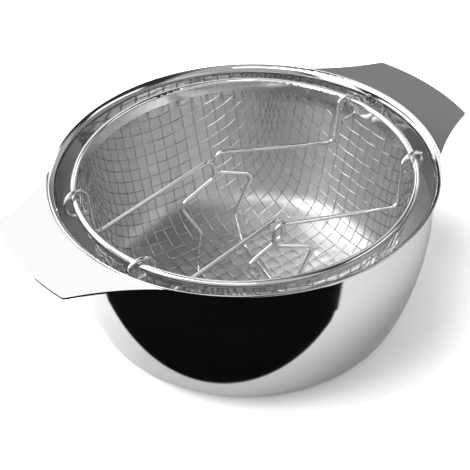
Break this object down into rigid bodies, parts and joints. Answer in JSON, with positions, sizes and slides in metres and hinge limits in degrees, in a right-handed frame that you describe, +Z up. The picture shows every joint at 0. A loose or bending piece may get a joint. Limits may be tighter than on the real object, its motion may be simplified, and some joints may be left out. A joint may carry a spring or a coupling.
{
  "type": "deep fry pot with basket",
  "caption": "Deep round steel pot with flat wing handles and a lift-out wire mesh basket whose stepped bail handles fold down inside it.",
  "frame": {"origin": "centre of the pot's bottom face, where it stands", "axes": "+Z up, +X along the line through both wing handles, towards the right wing"},
  "size_m": [0.3302, 0.2598, 0.1168],
  "materials": {
    "pot_shell": "mirror polished stainless steel",
    "left_wing": "mirror polished stainless steel",
    "right_wing": "mirror polished stainless steel",
    "rim_wire": "drawn stainless wire",
    "rim_band": "polished stainless steel",
    "basket_mesh": "bright stainless wire cloth",
    "left_bail": "polished stainless wire",
    "right_bail": "polished stainless wire"
  },
  "bodies": {
    "pot": {"pot_shell": "pot_shell", "left_wing": "left_wing", "right_wing": "right_wing"},
    "basket": {"rim_band": "rim_band", "rim_wire": "rim_wire", "basket_mesh": "basket_mesh"},
    "left_bail": {"left_bail": "left_bail"},
    "right_bail": {"right_bail": "right_bail"}
  },
  "joints": [
    {"name": "basket_lift", "type": "slide", "parent": "pot", "child": "basket", "axis": [0, 0, 1], "range_m": [0, 0.14]},
    {"name": "left_bail_swing", "type": "hinge", "parent": "basket", "child": "left_bail", "pos_m": [-0.10557, 0, 0.1068], "axis": [0, -1, 0], "range_deg": [0, 100]},
    {"name": "right_bail_swing", "type": "hinge", "parent": "basket", "child": "right_bail", "pos_m": [0.10418, -0.01706, 0.1068], "axis": [0.1616, 0.9869, 0], "range_deg": [0, 83]}
  ],
  "couplings": [
    {"joint": "right_bail_swing", "follows": "left_bail_swing", "ratio": 0.83}
  ]
}
